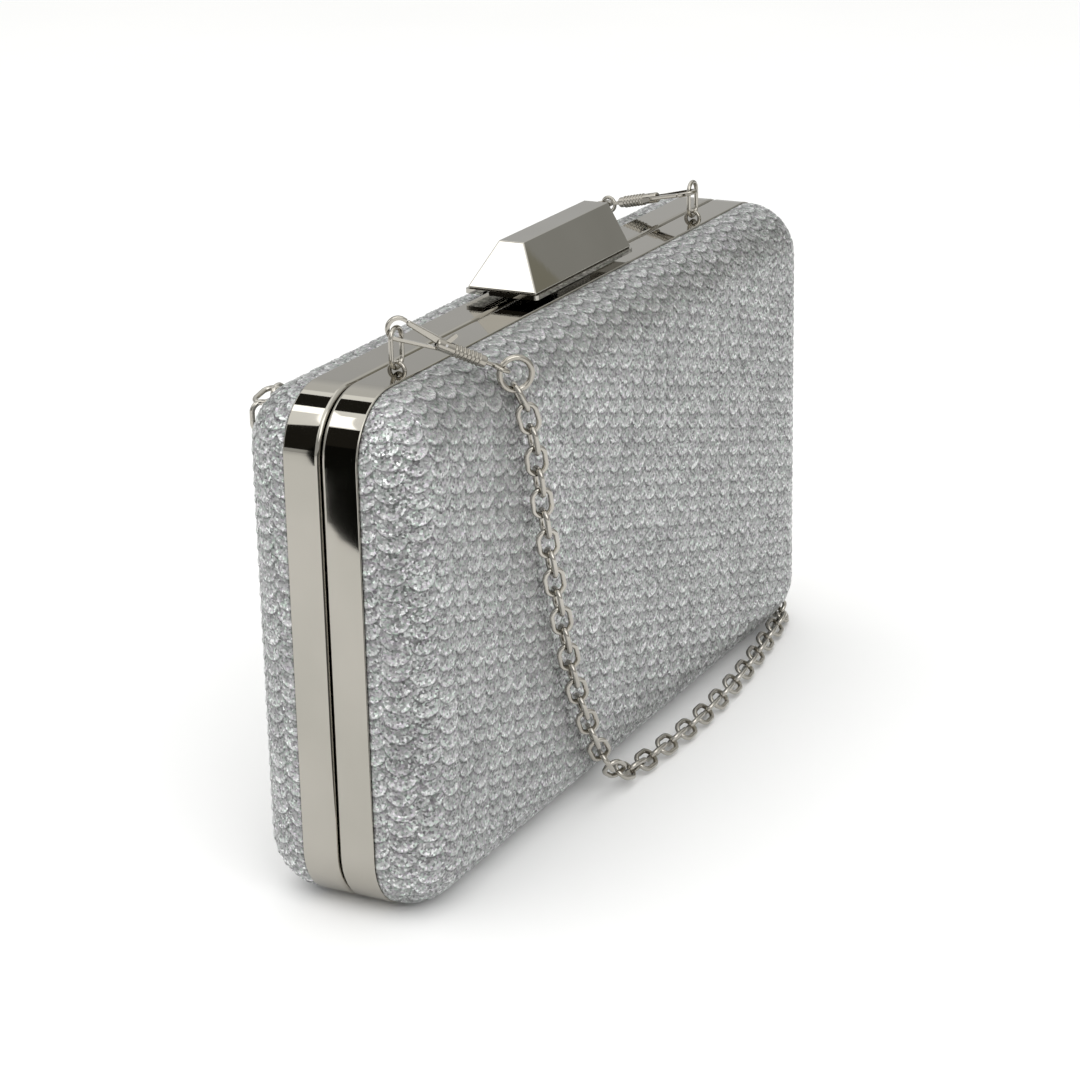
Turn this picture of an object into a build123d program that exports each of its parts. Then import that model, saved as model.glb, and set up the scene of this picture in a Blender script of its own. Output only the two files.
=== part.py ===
from build123d import *
from math import radians, tan
import os

# Hard-shell box clutch with a snap clasp and a detachable chain strap.
# Millimetres. Origin: middle of the bottom edge. +X right, -Y front, +Z up.
# The two halves meet at y = 0 and turn on hinges along the bottom of the seam.

# ---- driving dimensions: case ----
WIDTH = 200.0
HEIGHT = 110.0
HALF_DEPTH = 21.0
CORNER_R = 13.5
BAND_DEPTH = 8.4
SEAM_GAP = 0.2
BAND_WALL = 1.6
LIP_R = 0.9
TRIM_R = 0.3
COVER_INSET = 0.3
COVER_T = 0.9
SHELL_INSET = COVER_INSET + COVER_T + 0.1
COLLAR_INSET = BAND_WALL + 0.1
SHELL_INNER = 3.0
LINING_OUTER = SHELL_INNER + 0.1
LINING_INNER = LINING_OUTER + 0.7
EDGE_R = 12.4
COLLAR_START = 1.2
LINING_START = 1.6
FIT = 0.05
CUT_PAST = 1.0

# ---- slip pocket on the rear lining ----
POCKET_W = 120.0
POCKET_H = 62.0
POCKET_Z = 16.0
POCKET_T = 0.6
POCKET_DEPTH = 1.5

# ---- case hinges ----
HINGE_X = 55.0
HINGE_Z = 1.9
KNUCKLE_R = 1.5
HINGE_PIN_R = 0.7
HINGE_BORE_R = 0.75
HINGE_LEN = 24.0
MID_KNUCKLE_LEN = 11.0
KNUCKLE_GAP = 0.3
LEAF_T = 0.5
LEAF_REACH = 7.6
OPEN_SLOPE = 0.62
NOTCH_GAP = 0.4
NOTCH_BELOW = 0.1
LEAF_START = HINGE_BORE_R + 0.2

# ---- clasp ----
KNOB_LEFT = -21.5
KNOB_RIGHT = 26.5
KNOB_FRONT = -7.6
KNOB_BACK = 10.0
KNOB_Z = HEIGHT + 1.4
KNOB_TOP = HEIGHT + 12.4
PLATE_T = 1.0
CAP_STEP = 0.3
CAP_WALL = 1.5
TOP_LEFT = -16.0
TOP_RIGHT = 25.8
TOP_FRONT = -1.8
TOP_BACK = 4.2
PIVOT_Y = 4.8
PIVOT_Z = HEIGHT + 1.6
PIVOT_PIN_R = 0.7
PIVOT_BORE_R = 0.74
BARREL_R = 1.35
BARREL_HALF = 5.6
LUG_IN = 5.9
LUG_OUT = 7.5
CLASP_PIN_LEFT = -8.1
CLASP_PIN_RIGHT = 11.0
COIL_R = 1.05
COIL_WIRE_R = 0.18
COIL_PITCH = 0.5
COIL_TURNS = 4
HOOK_LEFT = -7.0
HOOK_RIGHT = 9.0
HOOK_FRONT = -5.2
HOOK_BACK = -3.5
HOOK_LIFT = 0.25
STRIKE_LEFT = -6.0
STRIKE_RIGHT = 8.0
STRIKE_FRONT = -3.1
STRIKE_BACK = -0.7
STRIKE_BAR_T = 0.7
STRIKE_H = 0.9
STRIKE_LEAF_T = 0.3
BRACKET_T = 0.45
BRACKET_INSET = 0.2
BRACKET_GAP = 0.3
PLATE_CORNER_R = 0.8
FACET_R = 0.35
SLOT_GAP = 0.15
PIN_END_GAP = 0.3
COIL_OFFSET = 0.5
BORE_REACH = 30.0

# ---- strap rings ----
RING_Y = -4.2
LEFT_RING_X = -76.0
RIGHT_RING_X = 67.0
EYE_R = 1.75
EYE_WIRE_R = 0.45
RING_WIRE_R = 0.5
RING_HALF_WIDTH = 2.15
RING_BOTTOM = HEIGHT + 0.65
RING_TOP = HEIGHT + 8.85
STAPLE_ROOM = 5.0

# ---- lobster clasps, in their own frame: u along, v across the jaw, w through it ----
JAW_R = 2.6
JAW_WALL = 0.85
JAW_HALF_T = 0.5
SEAT_GAP = 0.75
RING_SEAT_U = JAW_WALL + RING_WIRE_R + SEAT_GAP
JAW_END_U = 12.0
THROAT_U = 9.2
THROAT_R = 0.8
THROAT_V = -0.1
JAW_CUT = 5.0
BAR_EDGE_R = 0.3
GATE_START_U = 3.6
BODY_R = 1.25
BODY_EDGE_R = 0.4
BODY_START_U = 11.2
BODY_END_U = 22.5
RIB_R = 0.2
RIB_PITCH = 0.9
RIB_START_U = 15.4
RIB_COUNT = 7
GATE_HALF_T = 0.45
GATE_SIDE_GAP = 0.08
SLOT_FLOOR_V = -0.75
SLOT_END_U = 14.9
GATE_PIVOT_U = 13.2
GATE_PIVOT_V = 0.4
GATE_HUB_R = 0.85
GATE_TIP_U = 4.35
GATE_TIP_V = 1.75
GATE_TIP_R = 0.6
TAB_ROOT_V = 0.8
TAB_ROOT_R = 0.5
TAB_U = 14.3
TAB_V = 2.8
TAB_R = 0.4
LEAF_SPRING_T = 0.16
LEAF_SPRING_LIFT = 0.02
PIN_SET_IN = 0.2
GATE_PIN_R = 0.35
GATE_BORE_R = 0.39
SWIVEL_STEM_R = 0.45
SWIVEL_HEAD_R = 0.7
STEM_GAP = 0.06
HEAD_GAP = 0.08
HEAD_FROM_END = 2.1
HEAD_TO_END = 1.5
SWIVEL_U = 26.0
SWIVEL_R = 1.7
SWIVEL_WIRE_R = 0.45
JUMP_R = 3.4
JUMP_WIRE_R = 0.65
LEFT_CLASP_DIR = Vector(18.4, -18.9, -13.0)
RIGHT_CLASP_DIR = Vector(4.0, 25.0, -6.0)

# ---- chain strap, as the envelope of its links ----
CHAIN_R = 2.6
FRONT_CHAIN = [
    (-57.3, -24.3, 101.2),
    (-55.0, -24.2, 94.5),
    (-52.4, -23.9, 84.0),
    (-49.9, -24.1, 72.0),
    (-46.4, -23.9, 59.5),
    (-42.6, -24.1, 46.5),
    (-38.2, -23.9, 33.5),
    (-33.0, -24.2, 21.5),
    (-28.4, -24.4, 12.6),
    (-22.6, -24.9, 5.4),
    (-14.6, -25.6, 2.7),
    (-3.0, -26.4, 2.7),
    (13.0, -27.3, 2.7),
    (34.0, -26.6, 2.7),
    (54.0, -25.0, 2.7),
    (71.0, -23.2, 2.7),
    (86.0, -21.0, 2.7),
    (97.4, -17.2, 2.7),
    (103.6, -9.0, 2.7),
    (105.4, -1.8, 2.7),
]
BACK_CHAIN = [
    (105.4, 1.2, 2.7),
    (104.4, 8.6, 2.7),
    (99.6, 18.0, 2.7),
    (88.0, 27.0, 2.7),
    (68.0, 31.0, 2.7),
    (42.0, 29.4, 2.7),
    (14.0, 31.2, 2.7),
    (-14.0, 29.6, 2.7),
    (-36.0, 31.0, 2.7),
    (-48.0, 29.8, 2.9),
    (-58.0, 27.4, 6.4),
    (-63.4, 25.2, 14.4),
    (-65.6, 24.5, 26.0),
    (-66.2, 24.2, 44.0),
    (-67.3, 24.3, 61.0),
    (-70.0, 24.5, 75.5),
    (-73.2, 24.6, 85.0),
    (-77.5, 24.6, 91.5),
    (-82.0, 24.4, 95.4),
    (-84.6, 24.2, 99.4),
    (-83.6, 24.0, 103.4),
    (-79.4, 23.8, 104.6),
    (-74.6, 23.7, 101.9),
    (-69.5, 23.7, 98.6),
    (-61.0, 23.9, 96.6),
    (-50.5, 24.0, 96.0),
]
TOP_CHAIN = [
    (-47.6, 24.0, 95.9),
    (-38.0, 24.2, 95.2),
    (-26.0, 24.2, 94.6),
    (-10.0, 24.0, 94.2),
    (8.0, 24.4, 94.0),
    (27.0, 24.2, 94.4),
    (42.0, 24.4, 95.0),
    (54.0, 24.8, 96.8),
    (62.0, 25.2, 100.6),
    (67.2, 25.3, 105.6),
]
BEND_SHARE = 0.45


def depth_plane(y):
    """Sketch plane facing +Y at depth y, centred at half height."""
    return Plane(origin=(0, y, HEIGHT / 2), x_dir=(1, 0, 0), z_dir=(0, 1, 0))


def block(inset, y_near, y_far):
    """Rounded rectangle of the case outline, moved in by inset, between two depths."""
    outline = RectangleRounded(WIDTH - 2 * inset, HEIGHT - 2 * inset, CORNER_R - inset)
    return extrude(depth_plane(y_near) * outline, y_far - y_near)


def dome(inset, y_near):
    """The same block with its far edge rounded, out to the case's face less inset."""
    far = HALF_DEPTH + COVER_INSET - inset
    body = block(inset, y_near, far)
    far_edges = body.edges().group_by(Axis.Y)[-1]
    return fillet(far_edges, EDGE_R - inset)


def x_cylinder(radius, x_from, x_to, y, z):
    """Cylinder along X."""
    middle = Pos((x_from + x_to) / 2, y, z)
    return middle * Rot(0, 90, 0) * Cylinder(radius, x_to - x_from)


def box_between(low, high):
    """Box from its lowest to its highest corner."""
    size = [b - a for a, b in zip(low, high)]
    centre = [(a + b) / 2 for a, b in zip(low, high)]
    return Pos(*centre) * Box(*size)


def opening_relief():
    """Wedge along the bottom seam that lets the halves turn past each other."""
    low = -NOTCH_BELOW
    reach = SEAM_GAP + OPEN_SLOPE * (HINGE_Z - low)
    with BuildSketch(Plane.YZ) as wedge:
        with BuildLine():
            Polyline((-1, HINGE_Z), (SEAM_GAP, HINGE_Z), (reach, low), (-1, low), close=True)
        make_face()
    return extrude(wedge.sketch, WIDTH / 2, both=True)


def hinge_notch(depth, height):
    """Room for both hinges, cut through what stands near the bottom seam."""
    cut = Part()
    for x in (-HINGE_X, HINGE_X):
        half = HINGE_LEN / 2 + NOTCH_GAP
        cut += box_between((x - half, -CUT_PAST, -CUT_PAST), (x + half, depth, height))
    return cut


def frame_band():
    """Polished metal band of one half, with a rounded lip at the seam."""
    ring = block(0, SEAM_GAP, BAND_DEPTH)
    ring = fillet(ring.edges().group_by(Axis.Y)[0], LIP_R)
    ring = fillet(ring.edges().group_by(Axis.Y)[-1], TRIM_R)
    ring -= block(BAND_WALL, 0, BAND_DEPTH + CUT_PAST)
    ring -= opening_relief()
    return ring - hinge_notch(KNUCKLE_R + NOTCH_GAP, HINGE_Z + CUT_PAST)


def shell():
    """Moulded tray under the fabric, with a collar that sits inside the band."""
    tray = dome(SHELL_INSET, BAND_DEPTH + FIT)
    tray += block(COLLAR_INSET, COLLAR_START, BAND_DEPTH + CUT_PAST)
    tray -= dome(SHELL_INNER, COLLAR_START - CUT_PAST)
    return tray - hinge_notch(LEAF_REACH + NOTCH_GAP, SHELL_INNER + NOTCH_GAP)


def cover():
    """Fabric skin over the tray."""
    skin = dome(COVER_INSET, BAND_DEPTH + FIT)
    return skin - dome(COVER_INSET + COVER_T, BAND_DEPTH)


def lining():
    """Satin lining inside the tray."""
    skin = dome(LINING_OUTER, LINING_START)
    return skin - dome(LINING_INNER, LINING_START - CUT_PAST)


def slip_pocket():
    """Flat pocket on the rear lining, open at the top."""
    back = HALF_DEPTH + COVER_INSET - LINING_INNER
    low = (-POCKET_W / 2, back - POCKET_DEPTH, POCKET_Z)
    high = (POCKET_W / 2, back, POCKET_Z + POCKET_H)
    inner_low = (low[0] + POCKET_T, low[1] + POCKET_T, low[2] + POCKET_T)
    inner_high = (high[0] - POCKET_T, high[1] + CUT_PAST, high[2] + CUT_PAST)
    return box_between(low, high) - box_between(inner_low, inner_high)


def knuckle(x_from, x_to):
    """One bored hinge knuckle."""
    outer = x_cylinder(KNUCKLE_R, x_from, x_to, 0, HINGE_Z)
    return outer - x_cylinder(HINGE_BORE_R, x_from - CUT_PAST, x_to + CUT_PAST, 0, HINGE_Z)


def leaf_plate(x_from, x_to, side):
    """Flat tab of a leaf from its knuckle to the inside of the band."""
    y_ends = sorted((side * LEAF_START, side * LEAF_REACH))
    low_z = BAND_WALL + FIT
    return box_between((x_from, y_ends[0], low_z), (x_to, y_ends[1], low_z + LEAF_T))


def front_leaf(x):
    """Leaf with the two outer knuckles, on the front band."""
    half = HINGE_LEN / 2
    inner = MID_KNUCKLE_LEN / 2 + KNUCKLE_GAP
    leaf = Part()
    for x_from, x_to in ((x - half, x - inner), (x + inner, x + half)):
        leaf += knuckle(x_from, x_to) + leaf_plate(x_from, x_to, -1)
    strap_y = -(KNUCKLE_R + NOTCH_GAP)
    low_z = BAND_WALL + FIT
    leaf += box_between((x - half, -LEAF_REACH, low_z), (x + half, strap_y, low_z + LEAF_T))
    return leaf


def back_leaf(x):
    """Leaf with the middle knuckle, on the rear band."""
    half = MID_KNUCKLE_LEN / 2
    leaf = knuckle(x - half, x + half) + leaf_plate(x - half, x + half, 1)
    strap_y = KNUCKLE_R + NOTCH_GAP
    low_z = BAND_WALL + FIT
    wide = HINGE_LEN / 2
    leaf += box_between((x - wide, strap_y, low_z), (x + wide, LEAF_REACH, low_z + LEAF_T))
    return leaf


def hinge_pin(x):
    """Pin through the three knuckles of one hinge."""
    return x_cylinder(HINGE_PIN_R, x - HINGE_LEN / 2, x + HINGE_LEN / 2, 0, HINGE_Z)


def clasp_slots():
    """Round slots about the pivot for the bracket's lugs, the pin's ends and the spring."""
    radius = BARREL_R + SLOT_GAP
    inner = LUG_IN - SLOT_GAP
    left = x_cylinder(radius, CLASP_PIN_LEFT - PIN_END_GAP, -inner, PIVOT_Y, PIVOT_Z)
    right = x_cylinder(radius, inner, CLASP_PIN_RIGHT + PIN_END_GAP, PIVOT_Y, PIVOT_Z)
    return left + right


def knob_plate():
    """Base plate of the knob, with the pivot barrel under it."""
    plate = box_between(
        (KNOB_LEFT, KNOB_FRONT, KNOB_Z),
        (KNOB_RIGHT, KNOB_BACK, KNOB_Z + PLATE_T),
    )
    plate = fillet(plate.edges().filter_by(Axis.Z), PLATE_CORNER_R)
    plate -= clasp_slots()
    plate += x_cylinder(BARREL_R, -BARREL_HALF, BARREL_HALF, PIVOT_Y, PIVOT_Z)
    return plate - x_cylinder(PIVOT_BORE_R, -BORE_REACH, BORE_REACH, PIVOT_Y, PIVOT_Z)


def hipped_block(inset, top_drop):
    """Faceted block of the knob, moved in by inset, its top lowered by top_drop."""
    step = inset + CAP_STEP
    sections = (
        (KNOB_LEFT, KNOB_RIGHT, KNOB_FRONT, KNOB_BACK, KNOB_Z + PLATE_T, step),
        (TOP_LEFT, TOP_RIGHT, TOP_FRONT, TOP_BACK, KNOB_TOP - top_drop, inset),
    )
    faces = []
    for left, right, front, back, z, margin in sections:
        size = Rectangle(right - left - 2 * margin, back - front - 2 * margin)
        faces.append(Pos((left + right) / 2, (front + back) / 2, z) * size)
    return loft(faces, ruled=True)


def knob_cap():
    """Hollow faceted cap of the clasp."""
    cap = fillet(hipped_block(0, 0).edges(), FACET_R)
    cap -= hipped_block(CAP_WALL, CAP_WALL)
    return cap - clasp_slots()


def clasp_hook():
    """Hook under the front of the knob."""
    low = (HOOK_LEFT, HOOK_FRONT, HEIGHT + HOOK_LIFT)
    return box_between(low, (HOOK_RIGHT, HOOK_BACK, KNOB_Z))


def strike_leaf():
    """Spring leaf on the front band that the hook snaps behind."""
    low = (STRIKE_LEFT, STRIKE_FRONT, HEIGHT)
    leaf = box_between(low, (STRIKE_RIGHT, STRIKE_BACK, HEIGHT + STRIKE_LEAF_T))
    bar_back = STRIKE_FRONT + STRIKE_BAR_T
    return leaf + box_between(low, (STRIKE_RIGHT, bar_back, HEIGHT + STRIKE_H))


def clasp_bracket():
    """Bracket on the rear band with two lugs for the knob's pin."""
    strap_y = PIVOT_Y + BARREL_R + BRACKET_GAP
    back_y = BAND_DEPTH - BRACKET_INSET
    top_z = HEIGHT + BRACKET_T
    bracket = box_between((-LUG_OUT, strap_y, HEIGHT), (LUG_OUT, back_y, top_z))
    for x_from, x_to in ((-LUG_OUT, -LUG_IN), (LUG_IN, LUG_OUT)):
        bracket += x_cylinder(BARREL_R, x_from, x_to, PIVOT_Y, PIVOT_Z)
        foot = (x_from, PIVOT_Y - BARREL_R, HEIGHT)
        bracket += box_between(foot, (x_to, PIVOT_Y + BARREL_R, PIVOT_Z))
        bracket += box_between(foot, (x_to, back_y, top_z))
    return bracket - x_cylinder(PIVOT_PIN_R, -BORE_REACH, BORE_REACH, PIVOT_Y, PIVOT_Z)


def clasp_pin():
    """Pivot pin of the knob."""
    return x_cylinder(PIVOT_PIN_R, CLASP_PIN_LEFT, CLASP_PIN_RIGHT, PIVOT_Y, PIVOT_Z)


def clasp_spring():
    """Torsion coil round the pivot pin, beside the right lug."""
    path = Helix(COIL_PITCH, COIL_PITCH * COIL_TURNS, COIL_R)
    start = Plane(origin=path @ 0, z_dir=path % 0)
    coil = sweep(start * Circle(COIL_WIRE_R), path=path)
    return Pos(LUG_OUT + COIL_OFFSET, PIVOT_Y, PIVOT_Z) * Rot(0, 90, 0) * coil


def ring_eye(x):
    """Small staple across the front band that holds a strap ring."""
    hoop = Pos(x, RING_Y, HEIGHT) * Rot(0, 90, 0) * Torus(EYE_R, EYE_WIRE_R)
    low = (x - STAPLE_ROOM, RING_Y - STAPLE_ROOM, HEIGHT - STAPLE_ROOM)
    return hoop - box_between(low, (x + STAPLE_ROOM, RING_Y + STAPLE_ROOM, HEIGHT))


def strap_ring(x):
    """Upright oval ring through a staple, facing front and back."""
    middle = (RING_BOTTOM + RING_TOP) / 2
    straight = RING_TOP - RING_BOTTOM - 2 * RING_HALF_WIDTH
    plane = Plane(origin=(x, RING_Y, middle), x_dir=(0, 0, 1), z_dir=(0, 1, 0))
    path = (plane * SlotCenterToCenter(straight, 2 * RING_HALF_WIDTH)).face().outer_wire()
    start = Plane(origin=path @ 0, z_dir=path % 0)
    return sweep(start * Circle(RING_WIRE_R), path=path)


def clasp_frame(seat, along, across):
    """Frame of a lobster clasp whose jaw holds the ring wire at seat."""
    u = along.normalized()
    v = (across - u * across.dot(u)).normalized()
    origin = Vector(*seat) - u * RING_SEAT_U
    return Plane(origin=origin, x_dir=u, z_dir=u.cross(v))


def hull_plate(circles, half_thickness):
    """Plate whose outline is the hull of a few circles (u, v, radius)."""
    with BuildSketch() as outline:
        for u, v, radius in circles:
            with Locations((u, v)):
                Circle(radius)
        make_hull()
    return extrude(outline.sketch, half_thickness, both=True)


def soften(plate):
    """The plate with the rims of its two faces rounded."""
    levels = plate.edges().group_by(Axis.Z)
    return fillet(levels[0] + levels[-1], BAR_EDGE_R)


def u_cylinder(radius, u_from, u_to):
    """Cylinder along u."""
    return Pos((u_from + u_to) / 2, 0, 0) * Rot(0, 90, 0) * Cylinder(radius, u_to - u_from)


def lobster_body():
    """Fixed jaw and ribbed body of a lobster clasp."""
    jaw = soften(hull_plate([(JAW_R, 0, JAW_R), (JAW_END_U, 0, BODY_R)], JAW_HALF_T))
    jaw -= hull_plate([(JAW_R, 0, JAW_R - JAW_WALL), (THROAT_U, THROAT_V, THROAT_R)], JAW_CUT)
    jaw -= box_between((GATE_START_U, 0, -JAW_CUT), (JAW_END_U, JAW_CUT, JAW_CUT))
    body = u_cylinder(BODY_R, BODY_START_U, BODY_END_U)
    body = fillet(body.edges(), BODY_EDGE_R)
    for i in range(RIB_COUNT):
        body += Pos(RIB_START_U + i * RIB_PITCH, 0, 0) * Rot(0, 90, 0) * Torus(BODY_R, RIB_R)
    body += jaw
    slot = GATE_HALF_T + GATE_SIDE_GAP
    body -= box_between((THROAT_U, SLOT_FLOOR_V, -slot), (SLOT_END_U, JAW_CUT, slot))
    head_from = BODY_END_U - HEAD_FROM_END - HEAD_GAP
    head_to = BODY_END_U - HEAD_TO_END + HEAD_GAP
    body -= u_cylinder(SWIVEL_STEM_R + STEM_GAP, head_to - FIT, BODY_END_U + CUT_PAST)
    body -= u_cylinder(SWIVEL_HEAD_R + HEAD_GAP, head_from, head_to)
    return body - Pos(GATE_PIVOT_U, GATE_PIVOT_V, 0) * Cylinder(GATE_PIN_R, 2 * JAW_CUT)


def lobster_gate():
    """Sprung gate of a lobster clasp, with its thumb tab."""
    tip = (GATE_TIP_U, GATE_TIP_V, GATE_TIP_R)
    arm = soften(hull_plate([tip, (GATE_PIVOT_U, GATE_PIVOT_V, GATE_HUB_R)], GATE_HALF_T))
    tab_root = (GATE_PIVOT_U, TAB_ROOT_V, TAB_ROOT_R)
    arm += hull_plate([tab_root, (TAB_U, TAB_V, TAB_R)], GATE_HALF_T)
    return arm - Pos(GATE_PIVOT_U, GATE_PIVOT_V, 0) * Cylinder(GATE_BORE_R, 2 * JAW_CUT)


def lobster_pin():
    """Rivet through the body and the gate."""
    length = 2 * (BODY_R - PIN_SET_IN)
    return Pos(GATE_PIVOT_U, GATE_PIVOT_V, 0) * Cylinder(GATE_PIN_R, length)


def lobster_spring():
    """Leaf spring on the floor of the gate's slot."""
    low_v = SLOT_FLOOR_V + LEAF_SPRING_LIFT
    low = (BODY_START_U, low_v, -GATE_HALF_T)
    return box_between(low, (SLOT_END_U - SLOT_GAP, low_v + LEAF_SPRING_T, GATE_HALF_T))


def lobster_swivel():
    """Tail ring with its stem and head, free to turn in the body."""
    ring = Pos(SWIVEL_U, 0, 0) * Rot(90, 0, 0) * Torus(SWIVEL_R, SWIVEL_WIRE_R)
    head_to = BODY_END_U - HEAD_TO_END
    tail = ring + u_cylinder(SWIVEL_STEM_R, head_to - FIT, SWIVEL_U - SWIVEL_R)
    return tail + u_cylinder(SWIVEL_HEAD_R, BODY_END_U - HEAD_FROM_END, head_to)


def jump_ring():
    """Round ring between the clasp's tail and the chain."""
    return Pos(SWIVEL_U + JUMP_R, 0, 0) * Torus(JUMP_R, JUMP_WIRE_R)


def chain_tube(name, route):
    """Envelope of one stretch of chain: straight runs joined by tangent arcs."""
    points = [Vector(*p) for p in route]
    radii = []
    for before, here, after in zip(points, points[1:], points[2:]):
        turn = (here - before).get_angle(after - here)
        run = min((here - before).length, (after - here).length)
        radii.append(BEND_SHARE * run / tan(radians(turn / 2)))
    path = FilletPolyline(*points, radius=radii)
    start = Plane(origin=path @ 0, z_dir=path % 0)
    tube = sweep(start * Circle(CHAIN_R), path=path)
    expected = Circle(CHAIN_R).area * path.length
    print(name, "length", round(path.length, 1), "volume / section x length",
          round(tube.volume / expected, 4), "tightest", round(min(radii), 1))
    print("  radii", [round(r) for r in radii])
    return tube


def front_of(shape):
    """The rear half's shape, mirrored to the front."""
    return mirror(shape, about=Plane.XZ)


def case_parts():
    """Both halves of the case."""
    rear = {"frame": frame_band(), "shell": shell(), "cover": cover(), "lining": lining()}
    parts = {"slip_pocket": slip_pocket()}
    for name, shape in rear.items():
        parts["back_" + name] = shape
        parts["front_" + name] = front_of(shape)
    for side, x in (("left", -HINGE_X), ("right", HINGE_X)):
        parts[side + "_hinge_front_leaf"] = front_leaf(x)
        parts[side + "_hinge_back_leaf"] = back_leaf(x)
        parts[side + "_hinge_pin"] = hinge_pin(x)
    return parts


def clasp_parts():
    """The knob, its pivot and its catch."""
    return {
        "clasp_knob": knob_cap(),
        "clasp_base_plate": knob_plate(),
        "clasp_hook": clasp_hook(),
        "clasp_bracket": clasp_bracket(),
        "clasp_pin": clasp_pin(),
        "clasp_spring": clasp_spring(),
        "strike_leaf": strike_leaf(),
    }


def strap_parts():
    """Rings, lobster clasps, jump rings and chain."""
    left_seat = (LEFT_RING_X, RING_Y, RING_TOP)
    right_seat = (RIGHT_RING_X - RING_HALF_WIDTH, RING_Y, RING_TOP - RING_HALF_WIDTH)
    frames = {
        "left": clasp_frame(left_seat, LEFT_CLASP_DIR, Vector(0, 0, 1)),
        "right": clasp_frame(right_seat, RIGHT_CLASP_DIR, Vector(-1, 0, 0)),
    }
    parts = {}
    for side, x in (("left", LEFT_RING_X), ("right", RIGHT_RING_X)):
        place = frames[side].location
        parts[side + "_ring_eye"] = ring_eye(x)
        parts[side + "_strap_ring"] = strap_ring(x)
        parts[side + "_lobster_body"] = place * lobster_body()
        parts[side + "_lobster_gate"] = place * lobster_gate()
        parts[side + "_lobster_pin"] = place * lobster_pin()
        parts[side + "_lobster_spring"] = place * lobster_spring()
        parts[side + "_lobster_swivel"] = place * lobster_swivel()
        parts[side + "_jump_ring"] = place * jump_ring()
        pivot = frames[side].from_local_coords(Vector(GATE_PIVOT_U, GATE_PIVOT_V, 0))
        tail = frames[side].from_local_coords(Vector(SWIVEL_U, 0, 0))
        ring = frames[side].from_local_coords(Vector(SWIVEL_U + JUMP_R, 0, 0))
        print(side, "gate pivot", pivot, "axis", frames[side].z_dir, "swivel", tail)
        print(side, "swivel axis", frames[side].x_dir, "jump ring", ring)
    parts["front_chain"] = chain_tube("front_chain", FRONT_CHAIN)
    parts["back_chain"] = chain_tube("back_chain", BACK_CHAIN)
    parts["top_chain"] = chain_tube("top_chain", TOP_CHAIN)
    return parts


def main():
    """Build every piece and write one file for each."""
    os.makedirs("parts", exist_ok=True)
    for name, shape in {**case_parts(), **clasp_parts(), **strap_parts()}.items():
        export_step(shape, f"parts/{name}.step")


main()
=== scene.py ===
import bpy
import math
import numpy as np
from mathutils import Matrix, Vector


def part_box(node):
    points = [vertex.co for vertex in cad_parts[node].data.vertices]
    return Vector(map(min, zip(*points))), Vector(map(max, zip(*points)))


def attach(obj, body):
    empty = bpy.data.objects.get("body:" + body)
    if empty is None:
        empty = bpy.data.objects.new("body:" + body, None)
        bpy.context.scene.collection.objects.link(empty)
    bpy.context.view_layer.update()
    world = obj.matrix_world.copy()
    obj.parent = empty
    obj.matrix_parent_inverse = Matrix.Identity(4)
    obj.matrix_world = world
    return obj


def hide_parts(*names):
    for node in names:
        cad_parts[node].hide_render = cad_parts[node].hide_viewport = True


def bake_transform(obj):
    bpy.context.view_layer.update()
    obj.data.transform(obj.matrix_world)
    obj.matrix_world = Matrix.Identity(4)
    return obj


# Hard-shell box clutch with a snap clasp and a chain strap. Metres, in the frame's own axes.

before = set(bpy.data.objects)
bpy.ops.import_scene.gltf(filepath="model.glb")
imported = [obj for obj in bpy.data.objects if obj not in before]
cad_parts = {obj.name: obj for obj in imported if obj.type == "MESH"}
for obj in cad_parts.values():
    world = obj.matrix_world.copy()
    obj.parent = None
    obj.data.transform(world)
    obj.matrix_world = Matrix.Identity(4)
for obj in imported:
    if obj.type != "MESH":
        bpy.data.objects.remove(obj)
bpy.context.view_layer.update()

# ---- case, as in the frame ----
CORNER_R = 0.0135
EDGE_R = 0.0124
SHOULDER = 0.0089
FACE_DEPTH = 0.0213
COVER_INSET = 0.0003
COVER_START = 0.00845
LINING_INSET = 0.00345
LINING_START = 0.0017
HEM_TURN = 0.0009

# ---- scallop pattern of the cover cloth ----
SCALLOP_W = 0.00593
SCALLOP_H = 0.00336
SCALLOP_SAG = 0.0019
SCALLOP_ARC = 1.9
ARC_DEPTH = 1 - math.sqrt(1 - (SCALLOP_ARC / 2) ** 2)
COVER_STEP = 0.00050
RIM_RELIEF = 0.00017
SLOPE_RELIEF = 0.00015
RIM_AT = 0.13
RIM_SPREAD = 0.12
EDGE_FADE = 0.0016

# ---- glitter of the cover cloth: painted highlight on each scallop's rim, falling to painted shade under the next scallop's rim; then its flakes' random tones, the brightest with painted glints ----
SCALLOP_HIGHLIGHT_AND_SHADE = ((0.0, 0.38), (0.08, 0.74), (0.22, 0.80), (0.42, 0.56), (0.84, 0.47), (1.0, 0.28))
RIM_SHAPE = ((0.0, 0.0), (0.08, 0.9), (0.20, 1.0), (0.34, 0.55), (1.0, 0.0))
RIM_BUMP = 0.00012
FLAKE_SCALE = 2100.0
FINE_FLAKE_SCALE = 4600.0
FLAKE_TILT = 0.75
FINE_FLAKE_TILT = 0.4
# random flake tones; above one, painted glints on the brightest flakes
FLAKE_TONES_AND_GLINTS = ((0.0, 0.36), (0.45, 0.76), (0.80, 1.0), (1.0, 1.6))
FLAKE_TINTS = (
    (0.0, (0.86, 1.0, 0.90)),
    (0.25, (0.97, 1.0, 1.0)),
    (0.70, (1.0, 1.0, 1.0)),
    (1.0, (0.97, 0.90, 1.0)),
)

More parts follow.
